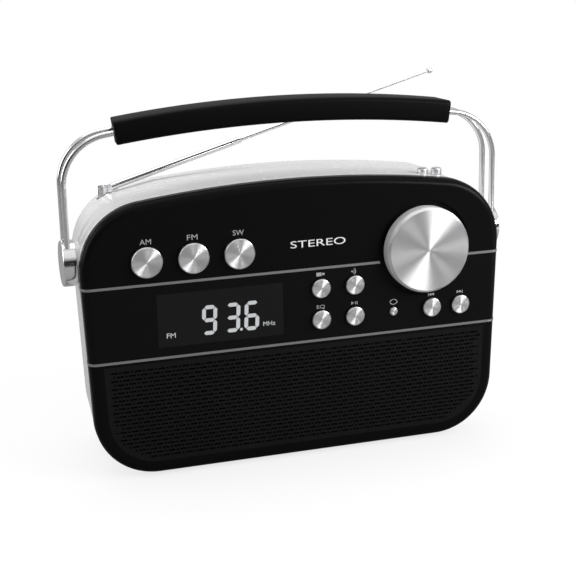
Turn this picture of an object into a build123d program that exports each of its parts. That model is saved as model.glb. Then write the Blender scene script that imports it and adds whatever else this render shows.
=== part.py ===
from build123d import *
import os
from math import asin, atan2, cos, degrees, radians, sin, sqrt, tan

os.makedirs("parts", exist_ok=True)

# A portable tabletop radio. +X is to the right of someone facing its front,
# +Y is towards its back, +Z is up. The origin is on the table, under the middle
# of the whole radio. All sizes are in millimetres and all angles in degrees.

# Cabinet
body_height = 169.6
body_depth = 90.0
base_width = 248.8
side_taper = 1.8
base_corner = 37.0
top_corner = 40.0
crown_radius = 680.0
front_depth = 8.5
front_round = 4.5
front_wall = 3.0
rear_round = 27.0
rear_wall = 2.6
rear_step = 0.5
rear_draft = 3.5
lip_gap = 0.15
lip_wall = 1.6
lip_length = 3.5

# Cuts run past the faces they open by one of these
cut_over = 1.0
cut_reach = 5.0

# Feet
foot_height = 2.0
foot_radius = 6.0
foot_stub_radius = 2.0
foot_edge = 0.5
foot_past_corner = 1.0
foot_from_seam = 3.0
foot_from_round = 4.0

# Chrome trim bars, let into the front
trim_width = 1.5
trim_depth = 0.8
trim_proud = 0.3

# Speaker grille and speakers
grille_inset = 8.0
grille_thickness = 1.4
grille_below_trim = 1.8
grille_slot_length = 8.0
grille_slot_width = 1.8
grille_slot_pitch = 13.0
grille_row_pitch = 6.0
speaker_radius = 26.0
speaker_cone_radius = 20.5
speaker_flange = 2.0
speaker_screw_depth = 1.2
speaker_screw_out = 0.6
basket_depth = 14.0
basket_neck_wall = 3.0
basket_hole_wall = 6.0
basket_wall = 1.2
magnet_radius = 16.0
magnet_depth = 9.0
cone_wall = 0.6
cone_front_gap = 0.6
cone_edge = 2.5
cone_cap_radius = 5.0
cone_cap_depth = 4.0
cone_tip_depth = 5.5

# Display
window_width = 75.6
window_height = 32.0
window_thickness = 1.5
window_sunk = 0.2
window_ledge = 1.6
module_depth = 12.0

# Buttons: radius, how far the cap stands proud, and how far it can be pressed
wide_key = {"radius": 9.0, "proud": 3.0, "travel": 1.2}
round_key = {"radius": 5.75, "proud": 2.5, "travel": 0.8}
dot_key = {"radius": 2.5, "proud": 1.0, "travel": 0.6}
key_gap = 0.25
key_flange = 1.3
key_flange_thickness = 1.2
key_edge = 0.6
key_stem_radius = 2.0
key_rest_gap = 0.1
key_switch_gap = 0.1
post_radius = 3.25
post_flange = 0.2
post_proud = 4.4
post_travel = 1.0
post_spacing = 9.0
post_top_round = 1.2
post_stem_radius = 1.5
post_stem_length = 4.0
post_y_share = 19.0 / 90.0

# Tuning knob
knob_radius = 26.0
knob_proud = 8.0
knob_skin = 1.0
knob_rim = 1.4
knob_recess_radius = 29.3
knob_recess_depth = 1.5
knob_lift = 0.7
knob_shaft_radius = 3.0
running_gap = 0.05
encoder_bush_radius = 4.5
encoder_side = 14.0
encoder_depth = 6.0
knob_cap_over_panel = 0.3
knob_core_wall = 2.0
knob_core_face = 3.5
knob_boss_wall = 3.0
knob_shaft_seat = 3.0
knob_shaft_end_gap = 2.0

# Circuit boards, switches and screws
board_thickness = 1.6
board_distance = 14.0
switch_side = 6.0
switch_height = 4.0
standoff_radius = 3.0
standoff_from_window = 4.5
standoff_sunk = 0.5
screw_radius = 1.2
screw_head_radius = 2.2
screw_head_height = 1.2
main_board_width = 120.0
main_board_height = 66.0
main_board_from_rear = 29.0
main_screw_depth = 8.0
main_standoff_inset = 6.0
main_standoff_low = 5.0
main_standoff_high = 20.0
top_board_margin = 8.0
top_board_half = 6.0
top_shelf_wall = 2.5
top_shelf_half = 4.0
top_switch_side = 5.0
cabinet_screw_radius = 1.5
cabinet_screw_head = 2.9
cabinet_boss_radius = 4.5
cabinet_screw_length = 20.0
cabinet_screw_head_height = 2.0
well_gap = 0.2
cabinet_boss_length = 33.0

# Ferrite aerial
ferrite_radius = 4.0
ferrite_length = 100.0
coil_wall = 1.2
coil_length = 22.0
clip_width = 5.0
clip_height = 11.0
clip_place_share = 0.38
ferrite_from_board = 2.0
ferrite_below_board_top = 1.0

# Battery compartment and sockets in the back
cell_radius = 7.1
cell_length = 50.0
cell_gap = 0.8
tray_wall = 3.0
cover_thickness = 2.0
cover_ledge = 2.0
cover_gap = 0.2
tray_end_gap = 4.0
tray_above_round = 5.0
panel_width = 36.0
panel_height = 15.0
panel_thickness = 1.5
usb_width = 14.6
usb_height = 7.0
usb_wall = 0.6
usb_depth = 13.0
jack_radius = 4.0
jack_bore = 1.8
jack_depth = 15.0
jack_floor = 1.0
socket_sunk = 0.2
socket_corner = 2.0
usb_tongue_half = 5.5
usb_tongue_thickness = 1.8
usb_tongue_raised = 0.4
usb_tongue_sunk = 1.5
usb_from_panel_quarter = 1.0
aux_from_panel_middle = 4.5
phones_from_panel_end = 4.8
vent_length = 34.0
vent_width = 2.0
vent_pitch = 5.0
vent_rows = 5
vent_place_share = 0.65
cover_corner = 3.0
window_corner = 1.0

# Carrying handle
pivot_y_share = 28.0 / 90.0
pivot_z_share = 126.0 / 169.6
pad_radius = 12.0
pad_proud = 1.0
hub_radius = 13.4
hub_thickness = 7.5
leg_inset = 3.3
hub_gap = 0.3
hub_edge = 1.0
pivot_radius = 3.0
bush_radius = 5.0
bush_length = 10.0
pivot_head_radius = 4.8
pivot_head_length = 2.4
pivot_head_gap = 0.5
pivot_seat = 1.5
bush_boss_wall = 2.5
pad_sunk = 3.0
rod_radius = 1.7
rod_spread = 14.0
rod_end_below = 3.0
rod_bend = 29.0
arch_radius = 750.0
arch_above_body = 37.7
grip_length = 201.0
grip_width = 23.0
grip_height = 13.7
grip_top_round = 5.5
grip_bottom_round = 3.0

# Telescopic aerial
aerial_y_share = 58.0 / 90.0
aerial_side = 24.0
aerial_pivot_below_crown = 8.4
aerial_tilt = 16.0
aerial_lowest = 12.0
pocket_radius = 4.2
pocket_below_pivot = 7.4
pocket_wall = 9.6
pocket_floor = 4.0
dish_radius = 50.0
dish_gap = 0.4
aerial_socket_radius = 3.6
aerial_socket_length = 8.0
fork_floor_gap = 0.3
aerial_pin_sunk = 0.6
turret_radius = 3.0
turret_gap = 0.2
turret_pin_radius = 2.0
fork_gap = 2.9
tongue_thickness = 2.6
tongue_radius = 2.4
aerial_pin_radius = 1.0
collar_radius = 2.3
collar_length = 3.5
tongue_half_height = 1.7
tube_radii = [2.0, 1.6, 1.2, 0.8]
tube_bores = [1.7, 1.3, 0.9]
tube_starts = [9.0, 9.5, 78.0, 144.0]
tube_ends = [88.5, 89.5, 154.0, 217.0]
tip_radius = 1.8
tip_length = 2.8
tip_round = 0.6

# Places worked out from the sizes above
base_z = foot_height
top_z = base_z + body_height
front_y = knob_proud - (body_depth + knob_proud) / 2
rear_y = front_y + body_depth
seam_y = front_y + front_depth
panel_back = front_y + front_wall
board_front = panel_back + board_distance
board_back = board_front + board_thickness
switch_top = board_front - switch_height


def half_width(z):
    """Half the width of the cabinet at a height, without its rounded corners."""
    return base_width / 2 + (z - base_z) * tan(radians(side_taper))


def across(share):
    """A place to the right of the middle, as a share of half the base's width."""
    return share * base_width / 2


def level(share):
    """A height, as a share of the cabinet's height."""
    return base_z + share * body_height


upper_trim_z = level(0.684)
lower_trim_z = level(0.4222)
window_x = across(-0.3888)
window_z = level(0.5518)
knob_x = across(0.631)
knob_z = level(0.7211)
speaker_x = across(0.5)
speaker_z = level(0.224)
pivot_y = front_y + pivot_y_share * body_depth
pivot_z = base_z + pivot_z_share * body_height
aerial_x = -(half_width(pivot_z) - aerial_side)
aerial_y = front_y + aerial_y_share * body_depth
aerial_z = top_z - aerial_pivot_below_crown
socket_top = aerial_z - pocket_below_pivot

keys = {
    "am_button": (across(-0.731), level(0.7645), wide_key),
    "fm_button": (across(-0.5134), level(0.7645), wide_key),
    "sw_button": (across(-0.2959), level(0.7645), wide_key),
    "usb_button": (across(0.0993), level(0.6127), round_key),
    "wireless_button": (across(0.2701), level(0.6127), round_key),
    "eq_button": (across(0.0993), level(0.4988), round_key),
    "play_button": (across(0.2701), level(0.4988), round_key),
    "repeat_button": (across(0.4719), level(0.4977), dot_key),
    "previous_button": (across(0.6693), level(0.5), round_key),
    "next_button": (across(0.8207), level(0.5), round_key),
}
posts = {"power_button": across(0.6825), "light_button": across(0.6825) + post_spacing}
post_y = front_y + post_y_share * body_depth

cabinet_screw_places = [
    (side * across(x), level(z)) for side in (-1, 1) for x, z in ((0.56, 0.861), (0.836, 0.13))
]
button_row_middle = (keys["usb_button"][1] + keys["eq_button"][1]) / 2
standoff_places = [
    (across(-0.75), level(0.507)),
    (window_x + window_width / 2 + standoff_from_window, button_row_middle),
    (across(-0.0643), level(0.79)),
    (across(0.37), level(0.79)),
    (across(0.852), level(0.6014)),
]


def block(x0, x1, y0, y1, z0, z1):
    """A box between two places on each axis."""
    middle = Pos((x0 + x1) / 2, (y0 + y1) / 2, (z0 + z1) / 2)
    return middle * Box(abs(x1 - x0), abs(y1 - y0), abs(z1 - z0))


def rod_x(radius, y, z, x0, x1):
    """A round rod along X."""
    return Pos((x0 + x1) / 2, y, z) * Rot(0, 90, 0) * Cylinder(radius, abs(x1 - x0))


def rod_y(radius, x, z, y0, y1):
    """A round rod along Y."""
    return Pos(x, (y0 + y1) / 2, z) * Rot(90, 0, 0) * Cylinder(radius, abs(y1 - y0))


def rod_z(radius, x, y, z0, z1):
    """A round rod along Z."""
    return Pos(x, y, (z0 + z1) / 2) * Cylinder(radius, abs(z1 - z0))


def join(pieces):
    """Several solids as one shape."""
    whole = pieces[0]
    for piece in pieces[1:]:
        whole = whole + piece
    return whole


def draft_at(y):
    """How much narrower the back half is on each side at a place along Y."""
    return (y - seam_y) * tan(radians(rear_draft))


def outline(inset, narrower=0.0):
    """The cabinet seen from the front, moved inwards on every side."""
    shift = inset / cos(radians(side_taper)) + narrower
    low = base_z + inset
    bottom = half_width(low) - shift
    top = half_width(top_z) - shift
    sides = Polygon((-bottom, low), (bottom, low), (top, top_z), (-top, top_z), align=None)
    face = sides & Pos(0, top_z - crown_radius) * Circle(crown_radius - inset)
    face = fillet(face.vertices().sort_by(Axis.Y)[:2], base_corner - inset)
    return fillet(face.vertices().sort_by(Axis.Y)[-2:], top_corner - inset)


def slab(inset, start, end):
    """The outline as a solid between two places along Y."""
    return extrude(Plane.XZ.offset(-end) * outline(inset), end - start)


def front_form(inset, end):
    """The front of the cabinet with its rounded edge, inset on every side."""
    form = slab(inset, front_y + inset, end)
    return fillet(form.faces().sort_by(Axis.Y)[0].edges(), front_round - inset)


def rear_form(inset, start):
    """The back of the cabinet, narrower towards its rounded rear edge, inset on every side."""
    ends = []
    for y in (start, rear_y - inset):
        ends.append(Plane.XZ.offset(-y) * outline(rear_step + inset, draft_at(y)))
    form = loft([end.face() for end in ends], ruled=True)
    return fillet(form.faces().sort_by(Axis.Y)[-1].edges(), rear_round - inset)


def trim_bar(z):
    """A chrome bar across the front and round both edges to the seam."""
    skin = front_form(-trim_proud, seam_y) - front_form(trim_depth, seam_y + cut_over)
    reach = base_width
    return skin & block(-reach, reach, front_y - cut_reach, rear_y, z - trim_width / 2, z + trim_width / 2)


def rounded_plate(x, z, width, height, corner, y0, y1):
    """A plate that faces front, with rounded corners."""
    sketch = Pos(x, z) * RectangleRounded(width, height, corner)
    return extrude(Plane.XZ.offset(-y1) * sketch, y1 - y0)


# ---- Front of the cabinet ----
knob_recess = rod_y(
    knob_recess_radius, knob_x, knob_z, front_y - cut_reach, front_y + knob_recess_depth
)
upper_trim = trim_bar(upper_trim_z) - knob_recess
lower_trim = trim_bar(lower_trim_z)

grille_top = lower_trim_z - trim_width / 2 - grille_below_trim
grille_blank = slab(grille_inset, front_y, front_y + grille_thickness)
grille_blank = grille_blank & block(-base_width, base_width, front_y, rear_y, 0, grille_top)


def make_grille():
    """The plate in front of both speakers, with rows of slots."""
    rows = int((grille_top - base_z - 2 * grille_inset) / grille_row_pitch)
    columns = int((base_width - 2 * base_corner) / grille_slot_pitch)
    middle = (grille_top + base_z + grille_inset) / 2
    slots = Pos(0, middle) * GridLocations(grille_slot_pitch, grille_row_pitch, columns, rows)
    pattern = Sketch() + slots * SlotOverall(grille_slot_length, grille_slot_width)
    return grille_blank - extrude(Plane.XZ.offset(-rear_y) * pattern, body_depth + cut_reach)


window_y = front_y + window_sunk
window_back = window_y + window_thickness


def window_plate(smaller, y0, y1):
    """A plate in the display window's place, smaller on every side."""
    width = window_width - 2 * smaller
    height = window_height - 2 * smaller
    return rounded_plate(window_x, window_z, width, height, window_corner, y0, y1)


display_window = window_plate(0, window_y, window_back)
display_module = window_plate(window_ledge, board_front - module_depth, board_front)
window_seat = window_plate(0, front_y - cut_reach, window_back)
window_opening = window_plate(window_ledge, front_y - cut_reach, panel_back + cut_reach)


def make_front_cabinet():
    """The black front shell with its openings, bosses and locating lip."""
    shell = front_form(0, seam_y) - front_form(front_wall, seam_y + cut_over)
    outside_y = front_y - cut_reach
    inside_y = panel_back + cut_reach
    lip_out = rear_step + rear_wall + lip_gap + draft_at(seam_y + lip_length)
    lip_in = lip_out + lip_wall
    lip = slab(front_wall - 0.2, seam_y - lip_length, seam_y) + slab(lip_out, seam_y, seam_y + lip_length)
    shell = shell + (lip - slab(lip_in, seam_y - 2 * lip_length, seam_y + 2 * lip_length))
    stem = board_front - panel_back
    for x, z in standoff_places:
        shell = shell + rod_y(standoff_radius, x, z, panel_back - standoff_sunk, board_front)
    for x, z in standoff_places:
        shell = shell - rod_y(screw_radius, x, z, board_front - stem / 2, board_front + cut_over)
    for x, z in cabinet_screw_places:
        shell = shell + rod_y(cabinet_boss_radius, x, z, panel_back - standoff_sunk, boss_end)
        hole_end = boss_end - cabinet_screw_length
        shell = shell - rod_y(cabinet_screw_radius, x, z, hole_end, boss_end + cut_over)
    shell = shell - trim_bar(lower_trim_z) - upper_trim
    shell = shell - grille_blank - knob_recess - window_seat - window_opening
    for side in (-1, 1):
        shell = shell - rod_y(speaker_cone_radius, side * speaker_x, speaker_z, outside_y, inside_y)
    for x, z, key in keys.values():
        shell = shell - rod_y(key["radius"] + key_gap, x, z, outside_y, inside_y)
    shell = shell - rod_y(encoder_bush_radius, knob_x, knob_z, outside_y, inside_y)
    for x, z in speaker_screw_places:
        shell = shell - rod_y(screw_radius, x, z, panel_back - speaker_screw_depth, panel_back + cut_over)
    return shell


# ---- Screws that join the two halves, and small screws inside ----
boss_end = front_y + cabinet_boss_length
speaker_screw_ring = (speaker_radius + speaker_cone_radius) / 2 + speaker_screw_out


def speaker_screw_place(side, angle):
    """The place of one screw on the ring round a speaker."""
    x = side * speaker_x + speaker_screw_ring * cos(radians(angle))
    return x, speaker_z + speaker_screw_ring * sin(radians(angle))


speaker_screw_places = [
    speaker_screw_place(side, angle) for side in (-1, 1) for angle in (45, 135, 225, 315)
]


def small_screw(x, z, seat, tip):
    """A small screw along Y, with its head on the seat."""
    away = 1 if seat > tip else -1
    head = rod_y(screw_head_radius, x, z, seat, seat + away * screw_head_height)
    return head + rod_y(screw_radius, x, z, seat, tip)


def cabinet_screw(x, z):
    """A long screw in its well, from the back half into the front half's boss."""
    seat = boss_end + rear_wall
    head = rod_y(cabinet_screw_head, x, z, seat, seat + cabinet_screw_head_height)
    tip = boss_end - cabinet_screw_length + cut_over
    return head + rod_y(cabinet_screw_radius, x, z, tip, seat)


# ---- Speakers ----
def revolve_y(points, x, z):
    """A ring: a profile of (radius, y) points turned about a line along Y."""
    profile = Plane.XY * Polygon(*points, align=None)
    return Pos(x, 0, z) * revolve(profile, Axis.Y)


def make_speaker(x):
    """The frame, cone and magnet of one speaker, screwed behind the front panel."""
    back = panel_back + speaker_flange
    end = back + basket_depth
    neck = magnet_radius - basket_neck_wall
    hole = neck - basket_hole_wall
    frame = revolve_y(
        [
            (speaker_cone_radius, panel_back),
            (speaker_radius, panel_back),
            (speaker_radius, back),
            (speaker_cone_radius + basket_wall, back),
            (neck + basket_wall, end),
            (hole, end),
            (hole, end - basket_wall),
            (neck, end - basket_wall),
            (speaker_cone_radius, back),
        ],
        x,
        speaker_z,
    )
    for sx, sz in speaker_screw_places:
        frame = frame - rod_y(screw_radius, sx, sz, panel_back - cut_over, back + cut_over)
    rim = speaker_cone_radius
    cone_y = panel_back + cone_front_gap
    cone = revolve_y(
        [
            (rim - cone_edge, cone_y),
            (rim, cone_y),
            (rim, cone_y + cone_wall),
            (rim - cone_edge + cone_wall / 2, cone_y + cone_wall),
            (cone_cap_radius, end - cone_cap_depth + cone_wall),
            (0.0, end - cone_tip_depth + cone_wall),
            (0.0, end - cone_tip_depth),
            (cone_cap_radius, end - cone_cap_depth),
        ],
        x,
        speaker_z,
    )
    magnet = rod_y(magnet_radius, x, speaker_z, end, end + magnet_depth)
    return frame, cone, magnet


# ---- Buttons, switches and boards ----
def make_key(x, z, key):
    """A pressed button: cap, flange behind the panel, and stem towards its switch."""
    face = front_y - key["proud"]
    flange_front = panel_back + key_rest_gap
    flange_back = flange_front + key_flange_thickness
    cap = rod_y(key["radius"], x, z, face, flange_front)
    cap = chamfer(cap.edges().sort_by(Axis.Y)[0], key_edge)
    flange = rod_y(key["radius"] + key_flange, x, z, flange_front, flange_back)
    stem_end = switch_top - key["travel"] - key_switch_gap
    return cap + flange + rod_y(key_stem_radius, x, z, flange_back, stem_end)


def top_surface(x):
    """The height of the back shell's top at a place on the rounded shoulder."""
    radius = top_corner - rear_step
    centre_x = half_width(pivot_z) - draft_at(post_y) - top_corner
    rise = sqrt((crown_radius - top_corner) ** 2 - centre_x**2)
    centre_z = top_z - crown_radius + rise
    return centre_z + sqrt(max(radius**2 - max(x - centre_x, 0) ** 2, 0))


post_outer_x = posts["light_button"] + post_radius + key_flange
post_flange_top = top_surface(post_outer_x) - rear_wall - key_flange_thickness
post_end = post_flange_top - post_stem_length
post_board_top = post_end - post_travel - key_switch_gap - switch_height


def make_post(x):
    """A small chrome push button in the top of the cabinet."""
    head = rod_z(post_radius, x, post_y, post_flange_top, top_surface(x) + post_proud)
    head = fillet(head.edges().sort_by(Axis.Z)[-1], post_top_round)
    flange_low = post_flange_top - key_flange_thickness
    flange = rod_z(post_radius + post_flange, x, post_y, flange_low, post_flange_top)
    return head + flange + rod_z(post_stem_radius, x, post_y, post_end, flange_low)


control_board_blank = block(
    across(-0.785), across(0.9), board_front, board_back, level(0.447), level(0.82)
)


def make_switches():
    """The tact switches under the front buttons."""
    half = switch_side / 2
    switches = []
    for x, z, key in keys.values():
        switches.append(block(x - half, x + half, switch_top, board_front, z - half, z + half))
    return Compound(children=switches)


def make_top_switches():
    """The small board and its two switches under the top buttons."""
    left = posts["power_button"] - top_board_margin
    right = posts["light_button"] + top_board_margin
    front = post_y - top_board_half
    low = post_board_top - board_thickness
    board = block(left, right, front, post_y + top_board_half, low, post_board_top)
    half = top_switch_side / 2
    reach = post_board_top + switch_height
    for x in posts.values():
        board = board + block(x - half, x + half, post_y - half, post_y + half, post_board_top, reach)
    return board


def make_control_board():
    """The board behind the front panel, screwed to its standoffs."""
    board = control_board_blank
    for x, z in standoff_places:
        board = board - rod_y(screw_radius, x, z, board_front - cut_over, board_back + cut_over)
    return board


# ---- Knob ----
knob_front = front_y - knob_proud
knob_back = front_y + knob_recess_depth - knob_lift


def make_knob():
    """The moulded core, the spun metal cap and the shaft of the tuning knob."""
    core_radius = knob_radius - knob_skin
    boss_radius = knob_shaft_radius + knob_boss_wall
    open_end = knob_back + cut_over
    seat = knob_front + knob_shaft_seat
    core = rod_y(core_radius, knob_x, knob_z, knob_front + knob_skin, knob_back)
    hollow = rod_y(core_radius - knob_core_wall, knob_x, knob_z, knob_front + knob_core_face, open_end)
    hollow = hollow - rod_y(boss_radius, knob_x, knob_z, knob_front, open_end + cut_over)
    core = core - hollow - rod_y(knob_shaft_radius, knob_x, knob_z, seat, open_end)
    cap = rod_y(knob_radius, knob_x, knob_z, knob_front, front_y + knob_cap_over_panel)
    cap = chamfer(cap.edges().sort_by(Axis.Y)[0], knob_rim)
    inner = rod_y(core_radius, knob_x, knob_z, knob_front + knob_skin, front_y + cut_over)
    inner = chamfer(inner.edges().sort_by(Axis.Y)[0], knob_rim)
    core = core & (inner + rod_y(core_radius, knob_x, knob_z, front_y, knob_back))
    shaft = rod_y(knob_shaft_radius, knob_x, knob_z, seat, board_front - knob_shaft_end_gap)
    return core, cap - inner, shaft


def make_encoder():
    """The rotary encoder on the board, with the bush that the shaft turns in."""
    half = encoder_side / 2
    face = board_front - encoder_depth
    body = block(knob_x - half, knob_x + half, face, board_front, knob_z - half, knob_z + half)
    body = body + rod_y(encoder_bush_radius, knob_x, knob_z, front_y + knob_recess_depth, face)
    bore = knob_shaft_radius + running_gap
    return body - rod_y(bore, knob_x, knob_z, front_y - cut_over, board_front - cut_over)


# ---- Back of the cabinet ----
tray_half_x = cell_length + tray_end_gap
tray_height = 4 * cell_radius + 3 * cell_gap
tray_low = base_z + rear_step + rear_round + tray_above_round
tray_depth = 2 * cell_radius + 2 * cell_gap + cover_thickness
cell_y = rear_y - cover_thickness - cell_gap - cell_radius
cell_z = [tray_low + cell_gap + cell_radius + row * (2 * cell_radius + cell_gap) for row in (0, 1)]
panel_x = across(0.643)
panel_z = level(0.525)
usb_x = panel_x - panel_width / 4 - usb_from_panel_quarter
aux_x = panel_x + aux_from_panel_middle
phones_x = panel_x + panel_width / 2 - phones_from_panel_end
main_board_z = level(0.46) + main_board_height / 2
main_board_y = rear_y - main_board_from_rear
main_standoff_x = main_board_width / 2 - main_standoff_inset
main_standoff_z = (main_standoff_low - main_board_height / 2, main_standoff_high)
main_standoff_places = [
    (side * main_standoff_x, main_board_z + z) for side in (-1, 1) for z in main_standoff_z
]
side_pad_x = half_width(pivot_z) - rear_step - draft_at(pivot_y) + pad_proud
hub_inner_x = side_pad_x + hub_gap
hub_outer_x = hub_inner_x + hub_thickness
bush_inner_x = side_pad_x - bush_length
leg_x = hub_outer_x - leg_inset
foot_x = base_width / 2 - base_corner - foot_radius + foot_past_corner
foot_rows = (seam_y + foot_radius + foot_from_seam, rear_y - rear_round - foot_radius - foot_from_round)
foot_places = [(side * foot_x, y) for side in (-1, 1) for y in foot_rows]


def make_rear_cabinet():
    """The white back shell with its wells, battery tray, sockets and aerial pocket."""
    outside = rear_form(0, seam_y)
    shell = outside - rear_form(rear_wall, seam_y - cut_over)
    inside = []
    for x, z in cabinet_screw_places:
        inside.append(rod_y(cabinet_boss_radius, x, z, boss_end, rear_y))
    for x, z in main_standoff_places:
        inside.append(rod_y(standoff_radius, x, z, main_board_y + board_thickness, rear_y))
    tray_front = rear_y - tray_depth - tray_wall
    tray_top = tray_low + tray_height
    tray_side = tray_half_x + tray_wall
    tray_under = tray_low - tray_wall
    inside.append(block(-tray_side, tray_side, tray_front, rear_y, tray_under, tray_top + tray_wall))
    pocket_low = socket_top - pocket_floor
    inside.append(rod_z(pocket_radius + pocket_wall, aerial_x, aerial_y, pocket_low, top_z))
    inside.append(top_shelf())
    for side in (-1, 1):
        start = side * (bush_inner_x + cut_over)
        inside.append(rod_x(bush_radius + bush_boss_wall, pivot_y, pivot_z, start, side * side_pad_x))
    shell = shell + (join(inside) & outside)
    for side in (-1, 1):
        pad_start = side * (side_pad_x - pad_sunk)
        shell = shell + rod_x(pad_radius, pivot_y, pivot_z, pad_start, side * side_pad_x)
        bush_ends = (side * (bush_inner_x - cut_reach), side * (side_pad_x + cut_reach))
        shell = shell - rod_x(bush_radius, pivot_y, pivot_z, *bush_ends)
    past_rear = rear_y + cut_over
    for x, z in cabinet_screw_places:
        shell = shell - rod_y(cabinet_screw_radius, x, z, boss_end - cut_over, past_rear)
        shell = shell - rod_y(cabinet_screw_head + well_gap, x, z, boss_end + rear_wall, past_rear)
    for x, z in main_standoff_places:
        seat = main_board_y + board_thickness
        shell = shell - rod_y(screw_radius, x, z, seat - cut_over, seat + main_screw_depth + cut_over)
    shell = shell - block(-tray_half_x, tray_half_x, rear_y - tray_depth, past_rear, tray_low, tray_top)
    shell = shell - cover_blank(0) - panel_blank(past_rear)
    for cut in socket_blanks():
        shell = shell - cut
    for slot in vent_slots():
        shell = shell - slot
    past_top = top_z + cut_over
    for x in posts.values():
        shell = shell - rod_z(post_radius + key_gap, x, post_y, post_flange_top - cut_over, past_top)
    shell = shell - rod_z(pocket_radius, aerial_x, aerial_y, socket_top, past_top)
    socket_low = socket_top - aerial_socket_length - 2 * cut_over
    shell = shell - rod_z(aerial_socket_radius, aerial_x, aerial_y, socket_low, socket_top + cut_over)
    shell = shell - aerial_dish()
    stub_top = base_z + rear_step + rear_wall + cut_over
    for x, y in foot_places:
        shell = shell - rod_z(foot_stub_radius, x, y, base_z - cut_over, stub_top)
    return shell


def aerial_dish():
    """The space above a shallow cone round the aerial, where its lowered tube swings."""
    low = aerial_z - collar_radius - dish_gap
    rim = low + dish_radius * tan(radians(aerial_lowest))
    high = top_z + dish_radius
    profile = Polygon((0, low), (dish_radius, rim), (dish_radius, high), (0, high), align=None)
    return Pos(aerial_x, aerial_y, 0) * revolve(Plane.XZ * profile, Axis.Z)


def top_shelf():
    """The rib that holds the small board under the top buttons."""
    middle = post_board_top - board_thickness
    start = posts["power_button"] - top_board_margin
    front = post_y + top_board_half
    low = middle - top_shelf_half
    return block(start, half_width(top_z), front, front + top_shelf_wall, low, middle + top_shelf_half)


def panel_blank(back):
    """The port panel's plate, from its seat to a place along Y."""
    front = rear_y - panel_thickness
    return rounded_plate(panel_x, panel_z, panel_width, panel_height, socket_corner, front, back)


def vent_slots():
    """The cooling slots in the back, in two columns."""
    slots = []
    for row in range(vent_rows):
        z = main_board_z + (row - (vent_rows - 1) / 2) * vent_pitch
        for side in (-1, 1):
            sketch = Pos(side * vent_length * vent_place_share, z) * SlotOverall(vent_length, vent_width)
            slots.append(extrude(Plane.XZ.offset(-rear_y - cut_over) * sketch, rear_wall + 3 * cut_over))
    return slots


def cover_blank(gap):
    """The battery cover's plate, smaller than its seat by the gap."""
    width = 2 * (tray_half_x + cover_ledge - gap)
    height = tray_height + 2 * (cover_ledge - gap)
    middle = tray_low + tray_height / 2
    return rounded_plate(0, middle, width, height, cover_corner, rear_y - cover_thickness, rear_y)


def socket_blanks():
    """The outer shapes of the three sockets in the back."""
    back = rear_y - socket_sunk
    low = panel_z - usb_height / 2
    usb = block(usb_x - usb_width / 2, usb_x + usb_width / 2, back - usb_depth, back, low, low + usb_height)
    jacks = [rod_y(jack_radius, x, panel_z, back - jack_depth, back) for x in (aux_x, phones_x)]
    return [usb] + jacks


def make_sockets():
    """The port panel, the wide socket and both round sockets."""
    usb_blank, aux_blank, phones_blank = socket_blanks()
    panel = panel_blank(rear_y)
    for blank in (usb_blank, aux_blank, phones_blank):
        panel = panel - blank - Pos(0, cut_over, 0) * blank
    half_x = usb_width / 2 - usb_wall
    half_z = usb_height / 2 - usb_wall
    end = rear_y - socket_sunk
    floor = end - usb_depth + jack_floor
    past = end + cut_over
    mouth = block(usb_x - half_x, usb_x + half_x, floor, past, panel_z - half_z, panel_z + half_z)
    low = panel_z + usb_tongue_raised
    high = low + usb_tongue_thickness
    tongue_ends = (usb_x - usb_tongue_half, usb_x + usb_tongue_half)
    usb = usb_blank - mouth + block(*tongue_ends, floor, end - usb_tongue_sunk, low, high)
    jack_end = end - jack_depth + jack_floor
    aux = aux_blank - rod_y(jack_bore, aux_x, panel_z, jack_end, past)
    phones = phones_blank - rod_y(jack_bore, phones_x, panel_z, jack_end, past)
    return panel, usb, aux, phones


def make_main_board():
    """The main board, held on four standoffs in the back half."""
    low = main_board_z - main_board_height / 2
    half = main_board_width / 2
    back = main_board_y + board_thickness
    board = block(-half, half, main_board_y, back, low, low + main_board_height)
    for x, z in main_standoff_places:
        board = board - rod_y(screw_radius, x, z, main_board_y - cut_over, back + cut_over)
    return board


ferrite_y = main_board_y + board_thickness + ferrite_radius + ferrite_from_board
ferrite_z = main_board_z + main_board_height / 2 - ferrite_radius - ferrite_below_board_top


def make_ferrite():
    """The ferrite rod, its coil, and the two clips that hold it on the main board."""
    half = ferrite_length / 2
    rod = rod_x(ferrite_radius, ferrite_y, ferrite_z, -half, half)
    coil = rod_x(ferrite_radius + coil_wall, ferrite_y, ferrite_z, -coil_length, 0) - rod
    front = main_board_y + board_thickness
    reach = clip_height / 2
    clips = []
    for side in (-1, 1):
        x = side * ferrite_length * clip_place_share
        ends = (x - clip_width / 2, x + clip_width / 2)
        clip = block(*ends, front, ferrite_y + reach, ferrite_z - reach, ferrite_z + reach)
        clips.append(clip - rod)
    return rod, coil, Compound(children=clips)


def make_feet():
    """Four rubber feet with stubs that push into the base."""
    feet = []
    for x, y in foot_places:
        foot = chamfer(rod_z(foot_radius, x, y, 0, base_z).edges().sort_by(Axis.Z)[0], foot_edge)
        foot = foot + rod_z(foot_radius, x, y, base_z, base_z + rear_step)
        feet.append(foot + rod_z(foot_stub_radius, x, y, base_z, base_z + rear_step + rear_wall))
    return Compound(children=feet)


# ---- Handle ----
arch_z = top_z + arch_above_body - arch_radius


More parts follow.
